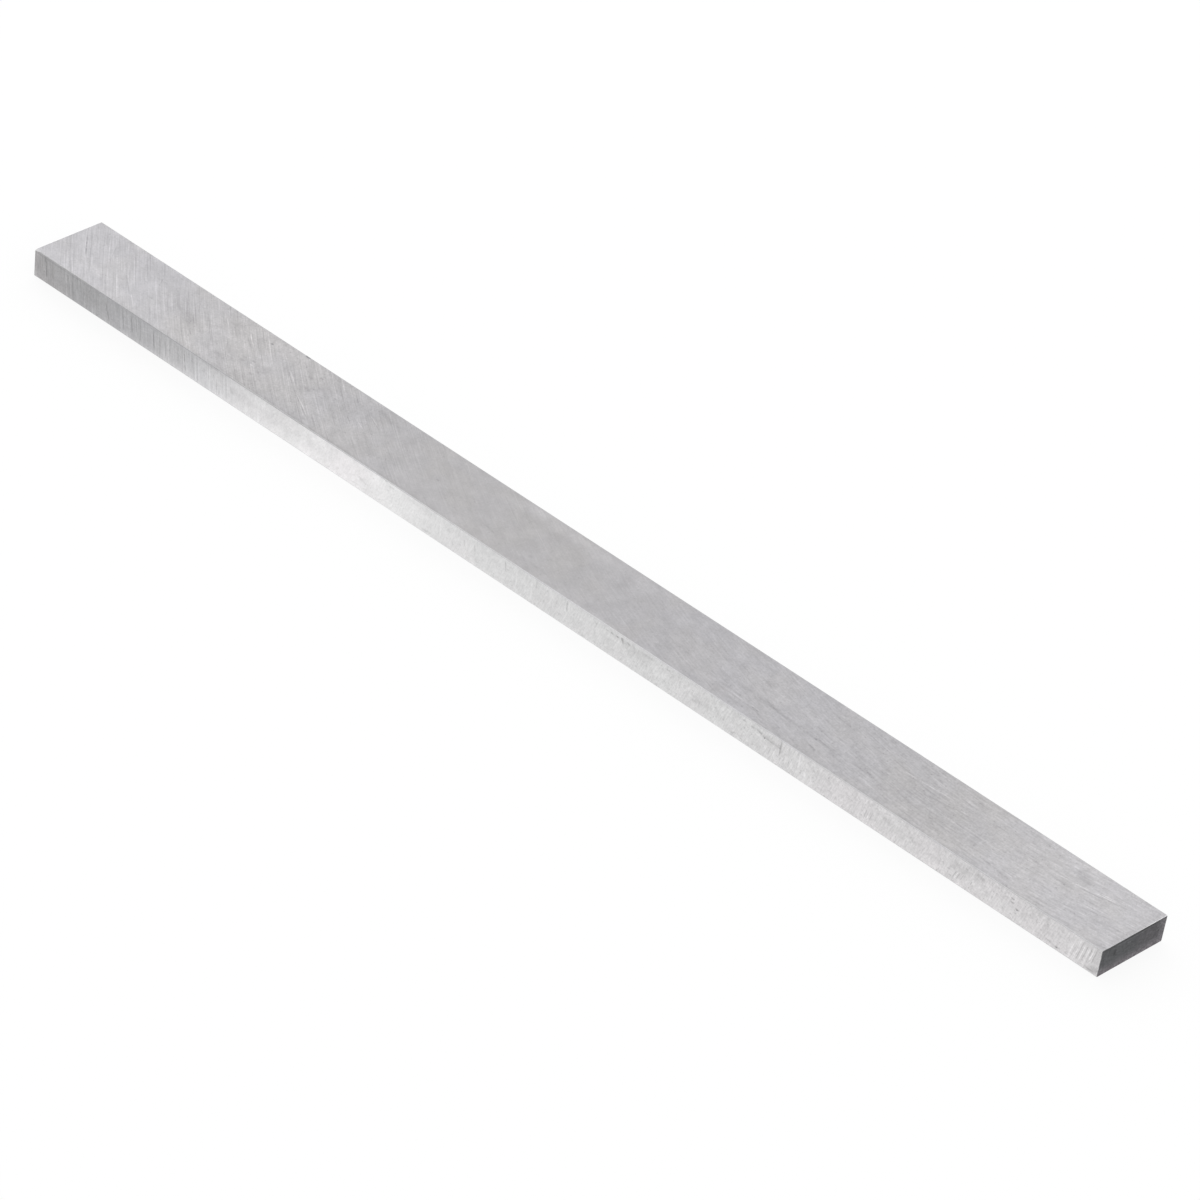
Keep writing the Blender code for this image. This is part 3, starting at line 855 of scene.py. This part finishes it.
def edge_steel(groups, name, tones, roughness, contrast, marks):
    """Broken edges, the worn corner and the pits: a tone along the bar, a grain and marks."""
    material, tree, shader = steel(name, roughness)
    whole, axes = place_in_mm(tree)
    place = flat_place(tree, axes[0], axes[2])
    mottling = use_group(tree, groups["mottling"], {"Place": whole, "Seed": EDGE_SEED})
    brightness = times(
        tree,
        ramp(tree, share_along(tree, axes[0]), tones),
        swing(tree, mottling["Grain"], contrast),
        swing(tree, mottling["Blotches"], contrast),
        with_marks(tree, place, groups["mark"], marks),
    )
    colour = scaled_by(tree, brightness, between(tree, PLAIN_GREY, COOL_GREY, mottling["Drift"]))
    finish_surface(tree, shader, colour, mottling["Grain"], EDGE_DEPTH_MM)
    return material


def bar_materials():
    """The materials in the order of their slots."""
    groups = {"grinding": grinding_group(), "mottling": mottling_group(), "mark": mark_group()}
    materials = {CUT_END: cut_end_steel(groups)}
    for slot, finish in WIDE_FINISHES.items():
        materials[slot] = wide_face_steel(groups, *finish)
    for slot, finish in SIDE_FINISHES.items():
        materials[slot] = side_steel(groups, *finish)
    for slot, finish in EDGE_FINISHES.items():
        materials[slot] = edge_steel(groups, *finish)
    return [materials[slot] for slot in sorted(materials)]


def mark_faces(faces, slot):
    for face in faces:
        face.material_index = slot


def lay_out_bar():
    """The raked plan outline, raised to the thickness, with each face in its slot."""
    bm = bmesh.new()
    bmesh.ops.create_grid(bm, x_segments=1, y_segments=1, size=0.5)
    bmesh.ops.scale(bm, vec=(LENGTH, WIDTH, 1.0), verts=bm.verts)
    slide = Matrix.Identity(4)
    slide[0][1] = SLIDE
    bmesh.ops.transform(bm, matrix=slide, verts=bm.verts)
    raised = bmesh.ops.extrude_face_region(bm, geom=bm.faces[:])["geom"]
    upper = [part for part in raised if isinstance(part, bmesh.types.BMVert)]
    bmesh.ops.translate(bm, vec=(0.0, 0.0, THICKNESS), verts=upper)
    bmesh.ops.recalc_face_normals(bm, faces=bm.faces)
    for face in bm.faces:
        normal = face.normal
        if abs(normal.z) > SQUARELY:
            face.material_index = TOP_FACE if normal.z > 0 else UNDERSIDE
        elif abs(normal.y) > SQUARELY:
            face.material_index = FRONT_SIDE if normal.y < 0 else BACK_SIDE
        else:
            face.material_index = CUT_END
    return bm


def bevel_edges(bm, edges, size, segments, slot):
    """Rounds the edges, with the new faces in a slot."""
    made = bmesh.ops.bevel(
        bm,
        geom=edges,
        offset=size,
        offset_type="OFFSET",
        segments=segments,
        profile=0.5,
        affect="EDGES",
        clamp_overlap=True,
        material=-1,
    )
    mark_faces(made["faces"], slot)


def break_edges(bm):
    """Fine rounds along the bar, the back ones in their own slot, and a narrow rim round each cut end."""
    long_edges = [edge for edge in bm.edges if runs_along(edge)]
    bevel_edges(bm, long_edges, LONG_EDGE_RADIUS, LONG_EDGE_SEGMENTS, LONG_EDGE)
    rounds = [face for face in bm.faces if face.material_index == LONG_EDGE]
    mark_faces([face for face in rounds if face.calc_center_median().y > 0], BACK_EDGE)
    rims = [edge for edge in bm.edges if borders_cut_end(edge)]
    bevel_edges(bm, rims, END_RIM_WIDTH, END_RIM_SEGMENTS, END_RIM)


def runs_along(edge):
    return abs(edge.verts[0].co.x - edge.verts[1].co.x) > LENGTH / 2


def borders_cut_end(edge):
    return sum(face.material_index == CUT_END for face in edge.link_faces) == 1


def cut_flat(bm, points, slot):
    """Cuts off what lies outside the plane through three points, and closes it with a crisp flat."""
    first, second, third = points
    normal = (second - first).cross(third - first).normalized()
    if normal.dot(first - Vector((0.0, 0.0, THICKNESS / 2))) < 0:
        normal = -normal
    cut = bmesh.ops.bisect_plane(
        bm,
        geom=bm.verts[:] + bm.edges[:] + bm.faces[:],
        plane_co=first,
        plane_no=normal,
        clear_outer=True,
        dist=CUT_TOLERANCE,
    )["geom_cut"]
    rim = [part for part in cut if isinstance(part, bmesh.types.BMEdge)]
    filled = bmesh.ops.contextual_create(bm, geom=rim)
    mark_faces(filled["faces"], slot)
    for edge in rim:
        edge.smooth = False


def wear_corners(bm):
    """The far front top corner is worn to a flat, and the near back lower corner is struck off."""
    far_front = Vector((-LENGTH / 2 - SLIDE * WIDTH / 2, -WIDTH / 2, THICKNESS))
    worn = (
        far_front + Vector((WORN_ALONG, 0.0, 0.0)),
        far_front + Vector((SLIDE * WORN_ACROSS, WORN_ACROSS, 0.0)),
        far_front + Vector((0.0, 0.0, -WORN_DEPTH)),
    )
    cut_flat(bm, worn, WORN_CORNER)
    near_back = Vector((LENGTH / 2 + SLIDE * WIDTH / 2, WIDTH / 2, 0.0))
    struck = (
        near_back + Vector((-STRUCK_SIZE, 0.0, 0.0)),
        near_back + Vector((-SLIDE * STRUCK_SIZE, -STRUCK_SIZE, 0.0)),
        near_back + Vector((0.0, 0.0, STRUCK_SIZE)),
    )
    cut_flat(bm, struck, CUT_END)
    bmesh.ops.recalc_face_normals(bm, faces=bm.faces)


def new_piece(name, bm):
    """An object in the scene from finished bmesh faces."""
    mesh = bpy.data.meshes.new(name)
    bm.to_mesh(mesh)
    bm.free()
    piece = bpy.data.objects.new(name, mesh)
    bpy.context.scene.collection.objects.link(piece)
    return piece


def pit_cutters():
    """Small rounded lumps at the places of the pits and nicks, each turned its own way."""
    bm = bmesh.new()
    for number, (x, y, z, length, width, height) in enumerate(PITS_MM):
        lump = bmesh.ops.create_icosphere(bm, subdivisions=PIT_ROUNDNESS, radius=0.5 * MM)["verts"]
        turn = Matrix.Rotation(radians(PIT_TURN * number), 3, "X")
        bmesh.ops.rotate(bm, cent=(0.0, 0.0, 0.0), matrix=turn, verts=lump)
        bmesh.ops.scale(bm, vec=(length, width, height), verts=lump)
        bmesh.ops.translate(bm, vec=Vector((x, y, z)) * MM, verts=lump)
    mark_faces(bm.faces, PIT)
    return new_piece("pit_cutters", bm)


def cut_pits(bar):
    """Takes the lumps out of the bar for good, and removes them."""
    cutters = pit_cutters()
    cut = bar.modifiers.new("pits", "BOOLEAN")
    cut.operation = "DIFFERENCE"
    cut.solver = "EXACT"
    cut.use_self = True
    cut.object = cutters
    bpy.context.view_layer.update()
    graph = bpy.context.evaluated_depsgraph_get()
    mesh = bpy.data.meshes.new_from_object(bar.evaluated_get(graph))
    bar.modifiers.clear()
    bar.data = mesh
    bpy.data.objects.remove(cutters, do_unlink=True)


def finish_bar():
    bm = lay_out_bar()
    break_edges(bm)
    wear_corners(bm)
    for face in bm.faces:
        face.smooth = True
    bar = new_piece("ground_bar", bm)
    for material in bar_materials():
        bar.data.materials.append(material)
    cut_pits(bar)
    flatten = bar.modifiers.new("flat_faces", "WEIGHTED_NORMAL")
    flatten.keep_sharp = True
    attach(bar, "root")
    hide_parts(BAR)


def seen_directly(tree):
    """1 for rays from the camera, off a glossy surface or through a clear one, and 0 for the rest."""
    path = add(tree, "ShaderNodeLightPath").outputs
    either = maths(tree, "MAXIMUM", path["Is Camera Ray"], path["Is Glossy Ray"])
    return maths(tree, "MAXIMUM", either, path["Is Transmission Ray"])


def lay_floor():
    """A white table. What is seen of it is mostly plain white, with the bar's own shadow left in."""
    bm = bmesh.new()
    bmesh.ops.create_grid(bm, x_segments=1, y_segments=1, size=FLOOR_SIZE / 2)
    bmesh.ops.translate(bm, vec=(0.0, 0.0, LOW.z - FLOOR_GAP), verts=bm.verts)
    floor = new_piece("table_top", bm)
    material = bpy.data.materials.new("white_table")
    material.use_nodes = True
    tree = material.node_tree
    tree.nodes.clear()
    paper = add(tree, "ShaderNodeBsdfDiffuse", {"Color": FLOOR_COLOUR}).outputs[0]
    white = add(tree, "ShaderNodeEmission", {"Color": WHITE, "Strength": 1.0}).outputs[0]
    share = times(tree, seen_directly(tree), FLOOR_WHITE_SHARE)
    mixed = add(tree, "ShaderNodeMixShader", {0: share, 1: paper, 2: white}).outputs[0]
    add(tree, "ShaderNodeOutputMaterial", {"Surface": mixed})
    floor.data.materials.append(material)


def light_room():
    world = bpy.data.worlds.new("white_room")
    world.use_nodes = True
    tree = world.node_tree
    tree.nodes.clear()
    levels = {"Value": seen_directly(tree), "To Min": ROOM_LIGHT, "To Max": 1.0}
    strength = add(tree, "ShaderNodeMapRange", levels).outputs[0]
    background = add(tree, "ShaderNodeBackground", {"Color": WHITE, "Strength": strength}).outputs[0]
    add(tree, "ShaderNodeOutputWorld", {"Surface": background})
    bpy.context.scene.world = world


def direction(azimuth, elevation):
    """From the bar towards a place seen at this azimuth, where 0 is straight in front, and elevation."""
    a = radians(azimuth)
    e = radians(elevation)
    return Vector((sin(a) * cos(e), -cos(a) * cos(e), sin(e)))


def stand(name, data, place, turn):
    """Puts a lamp or camera at a place, turned."""
    holder = bpy.data.objects.new(name, data)
    holder.matrix_world = Matrix.Translation(place) @ turn.to_matrix().to_4x4()
    bpy.context.scene.collection.objects.link(holder)
    return holder


def hang_lamps():
    for name, azimuth, elevation, distance, width, height, watts in LAMPS:
        lamp = bpy.data.lights.new(name, "AREA")
        lamp.shape = "RECTANGLE"
        lamp.size = width
        lamp.size_y = height
        lamp.energy = watts
        back = direction(azimuth, elevation)
        stand(name, lamp, back * distance, back.to_track_quat("Z", "Y")).visible_camera = False


def place_camera():
    lens = bpy.data.cameras.new("camera")
    lens.lens = CAMERA_LENS_MM
    lens.sensor_width = SENSOR_MM
    lens.sensor_fit = "HORIZONTAL"
    lens.clip_start = NEAR_CLIP
    lens.clip_end = FAR_CLIP
    back = direction(CAMERA_AZIMUTH, CAMERA_ELEVATION)
    turn = back.to_track_quat("Z", "Y") @ Quaternion((0.0, 0.0, 1.0), radians(CAMERA_ROLL))
    bpy.context.scene.camera = stand("camera", lens, CAMERA_AIM + back * CAMERA_DISTANCE, turn)


place_camera()
finish_bar()
lay_floor()
light_room()
hang_lamps()
bpy.context.scene.view_settings.view_transform = "Standard"
